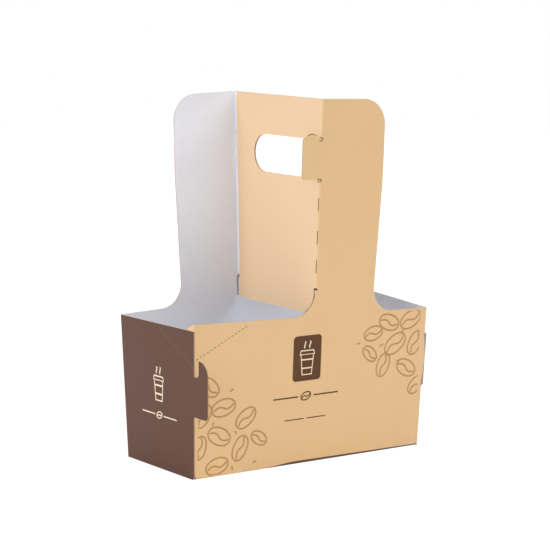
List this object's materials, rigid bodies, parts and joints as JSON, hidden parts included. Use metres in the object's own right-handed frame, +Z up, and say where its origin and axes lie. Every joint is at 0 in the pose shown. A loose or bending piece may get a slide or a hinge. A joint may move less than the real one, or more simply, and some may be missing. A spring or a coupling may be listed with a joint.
{
  "type": "cardboard cup carrier",
  "caption": "Folded paperboard carrier for hot drink cups: a flared open box with a hook tab at one end and a tall Z-folded handle with a hand hole in its web.",
  "frame": {"origin": "middle of the base, on the surface that the carrier stands on", "axes": "+X along the long front panel, +Y from the front panel to the back panel, +Z up"},
  "size_m": [0.1954, 0.1117, 0.246],
  "materials": {
    "board_print_tan": "matte print",
    "board_print_brown": "matte print",
    "board_liner_white": "matte uncoated"
  },
  "bodies": {
    "root": {"carrier": "board_print_tan"}
  },
  "joints": []
}
